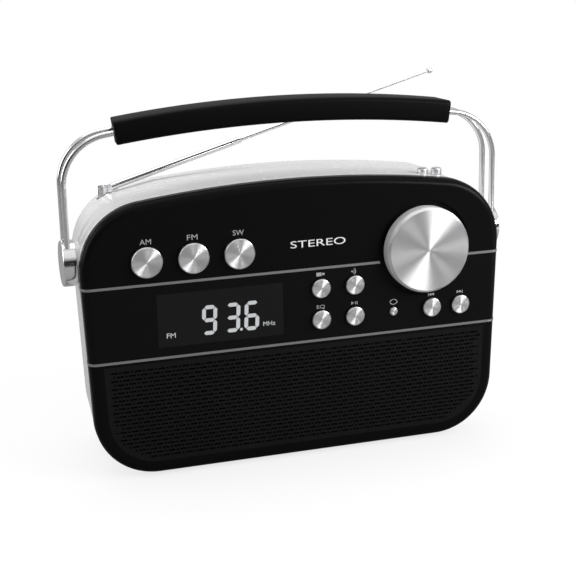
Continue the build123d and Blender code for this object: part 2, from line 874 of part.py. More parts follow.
def make_rod(y):
    """One bent chrome rod of the handle, from hub to hub."""
    bend_x = leg_x - rod_bend
    bend_z = arch_z + sqrt((arch_radius - rod_bend) ** 2 - bend_x**2)
    turn = degrees(atan2(bend_z - arch_z, bend_x))
    foot = pivot_z - rod_end_below
    path = (
        Line((leg_x, foot), (leg_x, bend_z))
        + CenterArc((bend_x, bend_z), rod_bend, 0, turn)
        + CenterArc((0, arch_z), arch_radius, turn, 180 - 2 * turn)
        + CenterArc((-bend_x, bend_z), rod_bend, 180 - turn, turn)
        + Line((-leg_x, bend_z), (-leg_x, foot))
    )
    path = Plane.XZ.offset(-y) * path
    section = Plane(origin=(leg_x, y, foot), z_dir=(0, 0, 1)) * Circle(rod_radius)
    return sweep(section, path=path)


def make_grip(rods):
    """The padded grip, bent along the arch and bored for both rods."""
    section = Rectangle(grip_width, grip_height)
    section = fillet(section.vertices().sort_by(Axis.Y)[-2:], grip_top_round)
    section = fillet(section.vertices().sort_by(Axis.Y)[:2], grip_bottom_round)
    angle = degrees(asin(grip_length / 2 / arch_radius))
    section = Plane(origin=(0, pivot_y, arch_z + arch_radius), x_dir=(0, 1, 0), z_dir=(1, 0, 0)) * section
    hinge = Axis((0, 0, arch_z), (0, 1, 0))
    half = revolve(section, hinge, angle)
    other = revolve(section, hinge, -angle)
    return (half + other) - rods[0] - rods[1]


def make_hub(side, rods):
    """A chrome hub with sockets for both rods and a hole for its pivot."""
    hub = rod_x(hub_radius, pivot_y, pivot_z, side * hub_inner_x, side * hub_outer_x)
    outer = hub.edges().filter_by(GeomType.CIRCLE).sort_by(Axis.X)[-1 if side > 0 else 0]
    hub = fillet(outer, hub_edge)
    seat = side * (hub_outer_x - pivot_seat)
    hub = hub - rod_x(pivot_radius, pivot_y, pivot_z, side * (hub_inner_x - cut_over), seat)
    for rod in rods:
        hub = hub - rod
    return hub


def make_pivot(side):
    """A headed pivot, fixed in the hub and kept by its head inside the cabinet."""
    end = bush_inner_x - pivot_head_gap
    shank = rod_x(pivot_radius, pivot_y, pivot_z, side * end, side * (hub_outer_x - pivot_seat))
    head = rod_x(pivot_head_radius, pivot_y, pivot_z, side * (end - pivot_head_length), side * end)
    return shank + head


def make_bush(side):
    """The bush in the cabinet's side that a pivot turns in."""
    bush = rod_x(bush_radius, pivot_y, pivot_z, side * bush_inner_x, side * side_pad_x)
    bore = pivot_radius + running_gap
    ends = (side * (bush_inner_x - cut_over), side * (side_pad_x + cut_over))
    return bush - rod_x(bore, pivot_y, pivot_z, *ends)


# ---- Aerial ----
aerial_place = Pos(aerial_x, aerial_y, aerial_z) * Rot(0, -aerial_tilt, 0)


def make_aerial_base():
    """The socket in the cabinet, the forked turret in it, and the turret's hinge pin."""
    low = socket_top - aerial_socket_length
    bore = turret_pin_radius + running_gap
    socket = rod_z(aerial_socket_radius, aerial_x, aerial_y, low, socket_top)
    socket = socket - rod_z(bore, aerial_x, aerial_y, low - cut_over, socket_top + cut_over)
    turret_low = socket_top + turret_gap
    turret = rod_z(turret_radius, aerial_x, aerial_y, turret_low, aerial_z + tongue_radius)
    slot_low = aerial_z - tongue_radius - fork_floor_gap
    slot_half = fork_gap / 2
    reach = 2 * turret_radius
    slot_ends = (aerial_x - reach, aerial_x + reach)
    slot = block(*slot_ends, aerial_y - slot_half, aerial_y + slot_half, slot_low, aerial_z + reach)
    pin_half = turret_radius - aerial_pin_sunk
    pin = rod_y(aerial_pin_radius, aerial_x, aerial_z, aerial_y - pin_half, aerial_y + pin_half)
    stalk = rod_z(turret_pin_radius, aerial_x, aerial_y, low - cut_over, turret_low + cut_over / 2)
    return socket, turret - slot + stalk - pin, pin


def make_tube(index):
    """One section of the telescopic aerial."""
    start = tube_starts[index]
    end = tube_ends[index]
    tube = rod_x(tube_radii[index], 0, 0, start, end)
    if index < 3:
        tube = tube - rod_x(tube_bores[index], 0, 0, start, end + cut_over)
    if index == 0:
        half = tongue_thickness / 2
        high = tongue_half_height
        collar_start = start - collar_length
        tongue = rod_y(tongue_radius, 0, 0, -half, half)
        tongue = tongue + block(0, collar_start + cut_over, -half, half, -high, high)
        tongue = tongue - rod_y(aerial_pin_radius + running_gap, 0, 0, -cut_reach, cut_reach)
        tube = tube + tongue + rod_x(collar_radius, 0, 0, collar_start, start)
    if index == 3:
        tip = rod_x(tip_radius, 0, 0, end, end + tip_length)
        tube = tube + fillet(tip.edges().filter_by(GeomType.CIRCLE), tip_round)
    return aerial_place * tube


# ---- Everything, one file for each piece ----
rods = [make_rod(pivot_y - rod_spread / 2), make_rod(pivot_y + rod_spread / 2)]
core, knob_cap, shaft = make_knob()
panel, usb, aux, phones = make_sockets()
ferrite, coil, clips = make_ferrite()
aerial_socket, turret, aerial_pin = make_aerial_base()
control_tip = board_front - board_distance / 2 + cut_over
control_screws = [small_screw(x, z, board_back, control_tip) for x, z in standoff_places]
speaker_seat = panel_back + speaker_flange
speaker_screws = [small_screw(x, z, speaker_seat, panel_back - cut_over) for x, z in speaker_screw_places]
main_tip = main_board_y + board_thickness + main_screw_depth
main_screws = [small_screw(x, z, main_board_y, main_tip) for x, z in main_standoff_places]
cells = [
    rod_x(cell_radius, cell_y, z, side * cell_gap, side * (cell_gap + cell_length))
    for z in cell_z
    for side in (-1, 1)
]

parts = {
    "front_cabinet": make_front_cabinet(),
    "speaker_grille": make_grille(),
    "upper_trim": upper_trim,
    "lower_trim": lower_trim,
    "display_window": display_window,
    "display_module": display_module,
    "control_board": make_control_board(),
    "button_switches": make_switches(),
    "top_switch_board": make_top_switches(),
    "knob_encoder": make_encoder(),
    "inner_screws": Compound(children=control_screws + speaker_screws + main_screws),
    "rear_cabinet": make_rear_cabinet(),
    "port_panel": panel,
    "usb_socket": usb,
    "aux_socket": aux,
    "headphone_socket": phones,
    "battery_cover": cover_blank(cover_gap),
    "battery_cells": Compound(children=cells),
    "cabinet_screws": Compound(children=[cabinet_screw(x, z) for x, z in cabinet_screw_places]),
    "main_board": make_main_board(),
    "ferrite_rod": ferrite,
    "ferrite_coil": coil,
    "ferrite_clips": clips,
    "rubber_feet": make_feet(),
    "antenna_socket": aerial_socket,
    "front_rod": rods[0],
    "rear_rod": rods[1],
    "grip": make_grip(rods),
    "pivot_bolts": Compound(children=[make_pivot(-1), make_pivot(1)]),
    "tuning_knob": core,
    "knob_face": knob_cap,
    "knob_shaft": shaft,
    "antenna_turret": turret,
    "antenna_pin": aerial_pin,
}
for side, name in ((-1, "left"), (1, "right")):
    frame, cone, magnet = make_speaker(side * speaker_x)
    parts[name + "_speaker_frame"] = frame
    parts[name + "_speaker_cone"] = cone
    parts[name + "_speaker_magnet"] = magnet
    parts[name + "_hub"] = make_hub(side, rods)
    parts[name + "_pivot_bush"] = make_bush(side)
for name, (x, z, key) in keys.items():
    parts[name] = make_key(x, z, key)
for name, x in posts.items():
    parts[name] = make_post(x)
for index in range(4):
    parts["antenna_tube_" + str(index + 1)] = make_tube(index)

for name, solid in parts.items():
    export_step(solid, "parts/" + name + ".step")
    box = solid.bounding_box()
    print(name, [round(v, 1) for v in (*box.min, *box.max)])
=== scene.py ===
from math import asin, cos, pi, radians, sin, tan

import bmesh
import bpy
from mathutils import Matrix, Vector


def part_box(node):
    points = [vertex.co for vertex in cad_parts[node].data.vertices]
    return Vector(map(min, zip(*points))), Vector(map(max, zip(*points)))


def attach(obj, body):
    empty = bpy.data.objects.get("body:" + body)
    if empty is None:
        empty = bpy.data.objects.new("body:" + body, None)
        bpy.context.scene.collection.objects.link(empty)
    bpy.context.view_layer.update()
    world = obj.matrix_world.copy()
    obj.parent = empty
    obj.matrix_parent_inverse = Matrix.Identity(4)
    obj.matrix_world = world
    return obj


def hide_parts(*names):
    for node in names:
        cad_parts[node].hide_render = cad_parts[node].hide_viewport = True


# The looks of a portable tabletop radio. Sizes are in metres: +X is to the right of someone
# facing the radio, its front faces -Y, and +Z is up.

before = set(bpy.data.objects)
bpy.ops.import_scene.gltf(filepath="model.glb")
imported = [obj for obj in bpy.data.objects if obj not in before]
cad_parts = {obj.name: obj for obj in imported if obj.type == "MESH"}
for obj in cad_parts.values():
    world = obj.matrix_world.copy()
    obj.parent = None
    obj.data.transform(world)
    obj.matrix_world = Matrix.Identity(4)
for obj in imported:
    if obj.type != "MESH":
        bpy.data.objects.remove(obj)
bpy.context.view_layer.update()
MM = 0.001


# ---------------------------------------------------------------- camera, floor and light
CAMERA_AZIMUTH = radians(-16.716)
CAMERA_ELEVATION = radians(15.734)
CAMERA_ROLL = radians(-1.221)
CAMERA_DISTANCE = 0.75182
LOOK_AT = Vector((-0.00776, -0.041, 0.10786))
LENS = 80
SENSOR_WIDTH = 36
CLIP_END = 50

WHITE = (1, 1, 1, 1)
BEHIND_GREY = 0.55
FRONT_GREYS = {0.0: 0.03, 0.38: 0.03, 0.46: 0.35, 0.7: 0.9, 1.0: 1.0}
FRONT_STARTS = 0.0
FRONT_FULL = -0.25

FLOOR_HALF = 6
FLOOR_GREY = 0.85
FLOOR_IN_REFLECTIONS = 0.3
SHADOW_FADES_FROM = 0.1
SHADOW_FADES_TO = 0.34
SHADOW_LIFT = 0.75

KNOB_PLACE = (0.08, -0.06, 0.12)
MIDDLE = (0, 0, 0.11)
TABLE = (0, 0.05, 0)
LIGHTS = {
    "key": ((0.82, -0.72, 0.5), KNOB_PLACE, 0.85, 0.3, 11),
    "front_strip": ((0.16, -1.25, 0.3), KNOB_PLACE, 0.12, 0.2, 0.4),
    "low_spot": ((0.42, -0.3, 0.03), KNOB_PLACE, 0.03, 0.05, 0.05),
    "left_panel": ((-1.2, 0.1, 0.6), MIDDLE, 0.6, 0.9, 6),
    "top": ((0, 0.4, 1.5), TABLE, 1.5, 0.9, 10),
}


def make_camera():
    """A long lens a little to the left of the radio and above it."""
    azimuth, elevation = CAMERA_AZIMUTH, CAMERA_ELEVATION
    back = Vector((sin(azimuth) * cos(elevation), -cos(azimuth) * cos(elevation), sin(elevation)))
    right = Vector((cos(azimuth), sin(azimuth), 0))
    up = back.cross(right)
    turned = Matrix((right, up, back)).transposed().to_4x4() @ Matrix.Rotation(CAMERA_ROLL, 4, "Z")
    lens = bpy.data.cameras.new("camera")
    lens.lens = LENS
    lens.sensor_width = SENSOR_WIDTH
    lens.clip_end = CLIP_END
    camera = bpy.data.objects.new("camera", lens)
    camera.matrix_world = Matrix.Translation(LOOK_AT + back * CAMERA_DISTANCE) @ turned
    bpy.context.collection.objects.link(camera)
    bpy.context.scene.camera = camera


def make_light(name, place, target, width, height, power):
    """A soft box that faces the target."""
    lamp = bpy.data.lights.new(name, "AREA")
    lamp.shape = "RECTANGLE"
    lamp.size = width
    lamp.size_y = height
    lamp.energy = power
    light = bpy.data.objects.new(name, lamp)
    away = Vector(place) - Vector(target)
    light.matrix_world = Matrix.Translation(place) @ away.to_track_quat("Z", "Y").to_matrix().to_4x4()
    bpy.context.collection.objects.link(light)


def camera_or_else(made, seen, other):
    """One shader where the camera sees it, and another in reflections and bounced light."""
    path = add_node(made, "ShaderNodeLightPath")
    choose = add_node(made, "ShaderNodeMixShader")
    link(made, path.outputs["Is Camera Ray"], choose.inputs["Fac"])
    link(made, other, choose.inputs[1])
    link(made, seen, choose.inputs[2])
    return choose.outputs["Shader"]


def grey(value):
    return (value, value, value, 1)


def make_world():
    """A pale studio, white where it is seen. In reflections its front is dark below and bright above."""
    world = bpy.data.worlds.new("studio")
    world.use_nodes = True
    shown = world.node_tree.nodes["Background"]
    shown.inputs["Color"].default_value = WHITE
    around = add_node(world, "ShaderNodeBackground")
    place = add_node(world, "ShaderNodeTexCoord")
    parts = add_node(world, "ShaderNodeSeparateXYZ")
    link(world, place.outputs["Generated"], parts.inputs["Vector"])
    height = add_node(world, "ShaderNodeValToRGB")
    height.color_ramp.interpolation = "EASE"
    link(world, parts.outputs["Z"], height.inputs["Fac"])
    steps = height.color_ramp.elements
    for position, value in FRONT_GREYS.items():
        ends = {0.0: steps[0], 1.0: steps[-1]}
        step = ends.get(position) or steps.new(position)
        step.color = grey(value)
    front = add_node(world, "ShaderNodeMapRange", From_Min=FRONT_STARTS, From_Max=FRONT_FULL)
    link(world, parts.outputs["Y"], front.inputs["Value"])
    choose = add_node(world, "ShaderNodeMix")
    choose.data_type = "RGBA"
    choose.inputs["A"].default_value = grey(BEHIND_GREY)
    link(world, front.outputs["Result"], choose.inputs["Factor"])
    link(world, height.outputs["Color"], choose.inputs["B"])
    link(world, choose.outputs["Result"], around.inputs["Color"])
    mixed = camera_or_else(world, shown.outputs["Background"], around.outputs["Background"])
    link(world, mixed, world.node_tree.nodes["World Output"].inputs["Surface"])
    bpy.context.scene.world = world


def make_floor():
    """White paper that keeps a faint shadow near the radio."""
    bm = bmesh.new()
    bmesh.ops.create_grid(bm, x_segments=1, y_segments=1, size=FLOOR_HALF)
    floor = add_piece("studio_floor", bm)
    made, shader = new_material("floor_paper")
    shader.inputs["Base Color"].default_value = grey(FLOOR_GREY)
    shader.inputs["Roughness"].default_value = 0.9
    shader.inputs["Specular IOR Level"].default_value = 0.0
    glow = add_node(made, "ShaderNodeEmission")
    distance = add_node(made, "ShaderNodeVectorMath")
    distance.operation = "LENGTH"
    link(made, object_place(made), distance.inputs[0])
    far = add_node(
        made,
        "ShaderNodeMapRange",
        From_Min=SHADOW_FADES_FROM,
        From_Max=SHADOW_FADES_TO,
        To_Min=SHADOW_LIFT,
    )
    link(made, distance.outputs["Value"], far.inputs["Value"])
    mix = add_node(made, "ShaderNodeMixShader")
    link(made, far.outputs["Result"], mix.inputs["Fac"])
    link(made, shader.outputs["BSDF"], mix.inputs[1])
    link(made, glow.outputs["Emission"], mix.inputs[2])
    dull = add_node(made, "ShaderNodeBsdfDiffuse")
    dull.inputs["Color"].default_value = grey(FLOOR_IN_REFLECTIONS)
    surface = camera_or_else(made, mix.outputs["Shader"], dull.outputs["BSDF"])
    link(made, surface, made.node_tree.nodes["Material Output"].inputs["Surface"])
    floor.data.materials.append(made)


def make_stage():
    """The floor and the soft boxes around the radio."""
    make_floor()
    for name, box in LIGHTS.items():
        make_light(name, *box)


# ---------------------------------------------------------------- pieces from meshes
def add_piece(name, bm, smooth_under=None):
    """A bmesh made an object at the origin, shaded smooth across gentle edges."""
    mesh = bpy.data.meshes.new(name)
    if smooth_under is not None:
        for face in bm.faces:
            face.smooth = True
        for edge in bm.edges:
            if edge.is_manifold:
                edge.smooth = edge.calc_face_angle(0) < radians(smooth_under)
    bm.to_mesh(mesh)
    bm.free()
    piece = bpy.data.objects.new(name, mesh)
    bpy.context.collection.objects.link(piece)
    return piece


def finish_piece(piece, body, material):
    """Puts a piece on its body and its material."""
    piece.data.materials.clear()
    piece.data.materials.append(material)
    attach(piece, body)
    return piece


def thicken(bm, front, back):
    """A flat shape in the XZ plane made a closed plate between two places along Y."""
    for vert in bm.verts:
        vert.co.y = front
    whole = bm.verts[:] + bm.edges[:] + bm.faces[:]
    grown = bmesh.ops.extrude_face_region(bm, geom=whole, use_keep_orig=True)
    moved = [part for part in grown["geom"] if isinstance(part, bmesh.types.BMVert)]
    bmesh.ops.translate(bm, verts=moved, vec=(0, back - front, 0))
    bmesh.ops.recalc_face_normals(bm, faces=bm.faces[:])


def add_outline(bm, points):
    """One flat face in the XZ plane."""
    return bm.faces.new([bm.verts.new((x, 0, z)) for x, z in points])


# ---------------------------------------------------------------- materials
def new_material(name):
    """An empty node material and its shader."""
    made = bpy.data.materials.new(name)
    made.use_nodes = True
    return made, made.node_tree.nodes["Principled BSDF"]


def add_node(made, kind, **values):
    """A node with some of its inputs set."""
    node = made.node_tree.nodes.new(kind)
    for key, value in values.items():
        node.inputs[key.replace("_", " ")].default_value = value
    return node


def link(made, source, target):
    made.node_tree.links.new(source, target)


def object_place(made, stretch=(1, 1, 1), centre=(0, 0, 0)):
    """The piece's own coordinates, centred on a place and stretched."""
    coordinates = add_node(made, "ShaderNodeTexCoord")
    mapping = add_node(made, "ShaderNodeMapping")
    mapping.inputs["Scale"].default_value = stretch
    mapping.inputs["Location"].default_value = [-c * s for c, s in zip(centre, stretch)]
    link(made, coordinates.outputs["Object"], mapping.inputs["Vector"])
    return mapping.outputs["Vector"]


def noise(made, place, scale, detail=2.0):
    """A fine noise over the piece."""
    texture = add_node(made, "ShaderNodeTexNoise", Scale=scale, Detail=detail)
    link(made, place, texture.inputs["Vector"])
    return texture.outputs["Fac"]


def spread(made, value, low, high):
    """A 0 to 1 value spread between two others."""
    node = add_node(made, "ShaderNodeMapRange", To_Min=low, To_Max=high)
    link(made, value, node.inputs["Value"])
    return node.outputs["Result"]


def blend_colour(made, value, first, second):
    """A colour between two, by a 0 to 1 value."""
    ramp = add_node(made, "ShaderNodeValToRGB")
    ramp.color_ramp.elements[0].color = (*first, 1)
    ramp.color_ramp.elements[1].color = (*second, 1)
    link(made, value, ramp.inputs["Fac"])
    return ramp.outputs["Color"]


def add_bump(made, shader, height, depth, strength=1.0):
    """Small relief of a given depth."""
    bump = add_node(made, "ShaderNodeBump", Strength=strength, Distance=depth)
    link(made, height, bump.inputs["Height"])
    link(made, bump.outputs["Normal"], shader.inputs["Normal"])


def moulded(name, dark, light, rough, grain=900.0, relief=0.00002, shine=0.5, coat=0.0):
    """Moulded plastic or rubber: slight mottling and a fine grain."""
    made, shader = new_material(name)
    place = object_place(made)
    mottle = noise(made, place, 40.0)
    link(made, blend_colour(made, mottle, dark, light), shader.inputs["Base Color"])
    link(made, spread(made, noise(made, place, 140.0), *rough), shader.inputs["Roughness"])
    shader.inputs["Specular IOR Level"].default_value = shine
    shader.inputs["Coat Weight"].default_value = coat
    add_bump(made, shader, noise(made, place, grain), relief)
    return made


def plated(name, colour, rough, stretch=(1, 1, 1)):
    """Bright metal with faint handling marks."""
    made, shader = new_material(name)
    shader.inputs["Metallic"].default_value = 1.0
    place = object_place(made, stretch)
    marks = noise(made, place, 260.0, 4.0)
    dimmed = [c * 0.9 for c in colour]
    link(made, blend_colour(made, noise(made, place, 30.0), dimmed, colour), shader.inputs["Base Color"])
    link(made, spread(made, marks, *rough), shader.inputs["Roughness"])
    return made


WALL_BLEND = 0.1 * MM


def spun(name, centre, face_radius, colour=(0.84, 0.84, 0.85), rings=5200.0):
    """Metal turned on a lathe about a line along Y: fine rings on its face, and a matt side wall."""
    made, shader = new_material(name)
    shader.inputs["Anisotropic"].default_value = 0.95
    place = object_place(made, centre=(centre[0], 0, centre[1]))
    flat = add_node(made, "ShaderNodeVectorMath")
    flat.operation = "MULTIPLY"
    flat.inputs[1].default_value = (1, 0, 1)
    link(made, place, flat.inputs[0])
    turned = add_node(made, "ShaderNodeVectorTransform")
    turned.vector_type = "VECTOR"
    turned.convert_from = "OBJECT"
    turned.convert_to = "WORLD"
    link(made, flat.outputs["Vector"], turned.inputs["Vector"])
    along = add_node(made, "ShaderNodeVectorMath")
    along.operation = "NORMALIZE"
    link(made, turned.outputs["Vector"], along.inputs[0])
    link(made, along.outputs["Vector"], shader.inputs["Tangent"])
    radius = add_node(made, "ShaderNodeVectorMath")
    radius.operation = "LENGTH"
    link(made, flat.outputs["Vector"], radius.inputs[0])
    face = add_node(made, "ShaderNodeMapRange", To_Min=1.0, To_Max=0.12)
    face.inputs["From Min"].default_value = face_radius - WALL_BLEND
    face.inputs["From Max"].default_value = face_radius
    link(made, radius.outputs["Value"], face.inputs["Value"])
    link(made, face.outputs["Result"], shader.inputs["Metallic"])
    cut = add_node(made, "ShaderNodeTexNoise", Scale=rings, Detail=2.0)
    cut.noise_dimensions = "1D"
    link(made, radius.outputs["Value"], cut.inputs["W"])
    ring = cut.outputs["Fac"]
    link(made, blend_colour(made, ring, [c * 0.86 for c in colour], colour), shader.inputs["Base Color"])
    link(made, spread(made, ring, 0.3, 0.4), shader.inputs["Roughness"])
    add_bump(made, shader, ring, 0.000004, 0.5)
    return made


def front_gloss():
    """Glossy black plastic, a shade lighter in the band between both trim bars."""
    made, shader = new_material("front_gloss_black")
    place = object_place(made)
    height = add_node(made, "ShaderNodeSeparateXYZ")
    link(made, place, height.inputs["Vector"])
    low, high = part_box("lower_trim")[1][2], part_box("upper_trim")[0][2]
    band = add_node(made, "ShaderNodeMath")
    band.operation = "COMPARE"
    band.inputs[1].default_value = (low + high) / 2
    band.inputs[2].default_value = (high - low) / 2
    link(made, height.outputs["Z"], band.inputs[0])
    mottle = noise(made, place, 30.0)
    mixed = add_node(made, "ShaderNodeMath")
    mixed.operation = "MULTIPLY_ADD"
    mixed.inputs[1].default_value = 0.75
    link(made, band.outputs["Value"], mixed.inputs[0])
    link(made, spread(made, mottle, 0.0, 0.25), mixed.inputs[2])
    colour = blend_colour(made, mixed.outputs["Value"], (0.0032, 0.0032, 0.0033), (0.0048, 0.0048, 0.005))
    link(made, colour, shader.inputs["Base Color"])
    link(made, spread(made, noise(made, place, 120.0), 0.26, 0.34), shader.inputs["Roughness"])
    shader.inputs["Specular IOR Level"].default_value = 0.06
    add_bump(made, shader, noise(made, place, 700.0), 0.00001, 0.4)
    return made


def grip_skin():
    """Soft black covering with a fine pebbled grain."""
    made, shader = new_material("grip_soft_black")
    place = object_place(made)
    cells = add_node(made, "ShaderNodeTexVoronoi", Scale=1500.0)
    cells.feature = "SMOOTH_F1"
    link(made, place, cells.inputs["Vector"])
    mottle = noise(made, place, 60.0)
    colour = blend_colour(made, mottle, (0.0008, 0.0008, 0.0008), (0.0016, 0.0016, 0.0016))
    link(made, colour, shader.inputs["Base Color"])
    link(made, spread(made, cells.outputs["Distance"], 0.42, 0.55), shader.inputs["Roughness"])
    shader.inputs["Specular IOR Level"].default_value = 0.07
    add_bump(made, shader, cells.outputs["Distance"], 0.00004, 0.5)
    return made


def lit(name, colour, strength):
    """A lit part of the display, a little uneven like a real backlight."""
    made, shader = new_material(name)
    place = object_place(made)
    glow = blend_colour(made, noise(made, place, 300.0), [c * 0.85 for c in colour], colour)
    link(made, glow, shader.inputs["Base Color"])
    link(made, glow, shader.inputs["Emission Color"])
    shader.inputs["Emission Strength"].default_value = strength
    shader.inputs["Roughness"].default_value = 0.5
    return made


def dress(material, *nodes):
    """Gives CAD nodes a material."""
    for name in nodes:
        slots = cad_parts[name].data.materials
        slots.clear()
        slots.append(material)


# ---------------------------------------------------------------- speaker grille
HOLE_PERIOD = 7.0 * MM
ROW_PITCH = 2.45 * MM
HOLE_GAP = 0.4 * MM
HOLE_HEIGHT = 1.1 * MM
COLUMN_LINES = [0.0, 1.5 * MM, 3.5 * MM, 5.0 * MM]
GRILLE_EDGE = 1.2 * MM
GRILLE_CORNER = 29.0 * MM
SIDE_TAPER = radians(1.8)
CORNER_STEPS = 14
HOLE_ROUND = 0.3 * MM
SAME_PLACE = 1e-5


def grille_sides(low, high):
    """The grille's outline as lines: a point on each one and its outward direction."""
    half = high[0]
    lines = [((0, high[2]), pi / 2)]
    centre_z = low[2] + GRILLE_CORNER
    centre_x = half - (high[2] - centre_z) * tan(SIDE_TAPER) - GRILLE_CORNER / cos(SIDE_TAPER)
    for step in range(CORNER_STEPS + 1):
        angle = -SIDE_TAPER + (SIDE_TAPER - pi / 2) * step / CORNER_STEPS
        x = centre_x + GRILLE_CORNER * cos(angle)
        z = centre_z + GRILLE_CORNER * sin(angle)
        lines += [((x, z), angle), ((-x, z), pi - angle)]
    return lines


def inside_by(lines, x, z):
    """How far a point is inside the nearest of the lines."""
    return min((px - x) * cos(angle) + (pz - z) * sin(angle) for (px, pz), angle in lines)


def make_grille():
    """The perforated plate: rows of dashes and dots, each row shifted by half a period."""
    low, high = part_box("speaker_grille")
    lines = grille_sides(low, high)
    periods = int((high[0] - low[0]) / HOLE_PERIOD) + 1
    rows = int((high[2] - low[2]) / ROW_PITCH) + 1
    columns = periods * len(COLUMN_LINES)
    left = -periods * HOLE_PERIOD / 2
    bm = bmesh.new()
    bmesh.ops.create_grid(bm, x_segments=columns, y_segments=rows, size=0.5)
    for vert in bm.verts:
        column = round((vert.co.x + 0.5) * columns)
        row = round((vert.co.y + 0.5) * rows)
        period, part = divmod(column, len(COLUMN_LINES))
        vert.co = (left + period * HOLE_PERIOD + COLUMN_LINES[part], 0, high[2] - row * ROW_PITCH)
    half = HOLE_PERIOD / 2
    dots = []
    dashes = []
    inner_edges = []
    for edge in bm.edges:
        a, b = edge.verts
        if abs(a.co.x - b.co.x) > SAME_PLACE:
            continue
        row = round((high[2] - (a.co.z + b.co.z) / 2) / ROW_PITCH - 0.5)
        shift = half * (row % 2)
        phase = (a.co.x - left - shift) % HOLE_PERIOD
        if any(abs(phase - COLUMN_LINES[part]) < SAME_PLACE for part in (1, 2)):
            inner_edges.append(edge)
    inner_edges = [edge for edge in inner_edges if len(edge.link_faces) == 2]
    bmesh.ops.dissolve_edges(bm, edges=inner_edges, use_verts=False)
    for face in bm.faces:
        reach = [inside_by(lines, vert.co.x, vert.co.z) for vert in face.verts]
        if min(reach) > GRILLE_EDGE:
            width = max(v.co.x for v in face.verts) - min(v.co.x for v in face.verts)
            (dashes if width > half else dots).append(face)
    holes = dashes + dots
    bmesh.ops.inset_individual(bm, faces=holes, thickness=HOLE_GAP, use_even_offset=True)
    squeeze = HOLE_HEIGHT / (ROW_PITCH - 2 * HOLE_GAP)
    for face in holes:
        away = Matrix.Translation(-face.calc_center_median())
        bmesh.ops.scale(bm, vec=(1, 1, squeeze), space=away, verts=face.verts)
    corners = [v for face in holes for v in face.verts if is_corner(face, v)]
    bmesh.ops.delete(bm, geom=holes, context="FACES_ONLY")
    round_verts(bm, corners, HOLE_ROUND, 1)
    for (x, z), angle in lines:
        everything = bm.verts[:] + bm.edges[:] + bm.faces[:]
        bmesh.ops.bisect_plane(
            bm, geom=everything, plane_co=(x, 0, z), plane_no=(cos(angle), 0, sin(angle)), clear_outer=True
        )
    thicken(bm, low[1], high[1])
    return add_piece("perforated_grille", bm)


def is_corner(face, vert):
    """True at a hole's four corners, false at points along its straight edges."""
    loop = next(loop for loop in face.loops if loop.vert == vert)
    return loop.calc_angle() < radians(170)


# ---------------------------------------------------------------- handle grip
ARCH_RADIUS = 750.0 * MM
GRIP_LENGTH = 201.0 * MM
GRIP_HEIGHT = 13.7 * MM
GRIP_FRONT_STRETCH = 1.012
GRIP_REAR_CUT = 0.022
GRIP_TOP_ROUND = 2.6 * MM
GRIP_BOTTOM_ROUND = 2.2 * MM
GRIP_END_ROUND = 0.8 * MM
GRIP_STEPS = 48
SEAM_SHARE = 0.08
SEAM_DEPTH = 0.5 * MM
TINY = 1e-6


def round_verts(bm, verts, radius, segments):
    """Rounds corners of a flat outline."""
    bmesh.ops.bevel(
        bm, geom=verts, offset=radius, segments=segments, profile=0.5, affect="VERTICES", material=-1
    )


def make_grip():
    """The covered grip: a rounded section bent along the handle's arch, with a seam below."""
    low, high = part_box("grip")
    width = high[1] - low[1]
    middle_y = (low[1] + high[1]) / 2
    middle_z = high[2] - GRIP_HEIGHT / 2
    bm = bmesh.new()
    bmesh.ops.create_grid(bm, x_segments=1, y_segments=1, size=0.5)
    for vert in bm.verts:
        vert.co = (0, vert.co.x * width, vert.co.y * GRIP_HEIGHT)
    top = [v for v in bm.verts if v.co.z > 0]
    round_verts(bm, top, GRIP_TOP_ROUND, 6)
    bottom = [v for v in bm.verts if v.co.z < -GRIP_HEIGHT / 2 + TINY]
    round_verts(bm, bottom, GRIP_BOTTOM_ROUND, 5)
    base = [e for e in bm.edges if all(v.co.z < -GRIP_HEIGHT / 2 + TINY for v in e.verts)]
    parts = bmesh.ops.subdivide_edges(bm, edges=base, cuts=3)
    seam = [v for v in parts["geom_inner"] if isinstance(v, bmesh.types.BMVert)]
    for vert in seam:
        vert.co.y *= SEAM_SHARE
        if abs(vert.co.y) < TINY:
            vert.co.z += SEAM_DEPTH
    bmesh.ops.translate(bm, verts=bm.verts[:], vec=(0, middle_y, middle_z))
    turn = asin(GRIP_LENGTH / 2 / ARCH_RADIUS)
    centre = Vector((0, middle_y, middle_z - ARCH_RADIUS))
    bmesh.ops.rotate(bm, verts=bm.verts[:], cent=centre, matrix=Matrix.Rotation(-turn, 3, "Y"))
    section = bm.verts[:] + bm.edges[:] + bm.faces[:]
    bmesh.ops.spin(bm, geom=section, cent=centre, axis=(0, 1, 0), angle=2 * turn, steps=GRIP_STEPS)
    bmesh.ops.holes_fill(bm, edges=[e for e in bm.edges if e.is_boundary])
    bmesh.ops.remove_doubles(bm, verts=bm.verts[:], dist=TINY)
    ends = [f for f in bm.faces if abs(f.normal.x) > 0.9]
    rims = {e for f in ends for e in f.edges if e.calc_face_angle(0) > radians(60)}
    bmesh.ops.bevel(
        bm, geom=list(rims), offset=GRIP_END_ROUND, segments=4, profile=0.5, affect="EDGES", material=-1
    )
    for vert in bm.verts:
        back = (vert.co.y - low[1]) / width
        vert.co.x *= GRIP_FRONT_STRETCH - GRIP_REAR_CUT * back * back
    bmesh.ops.recalc_face_normals(bm, faces=bm.faces[:])
    return add_piece("grip_cover", bm, smooth_under=35)


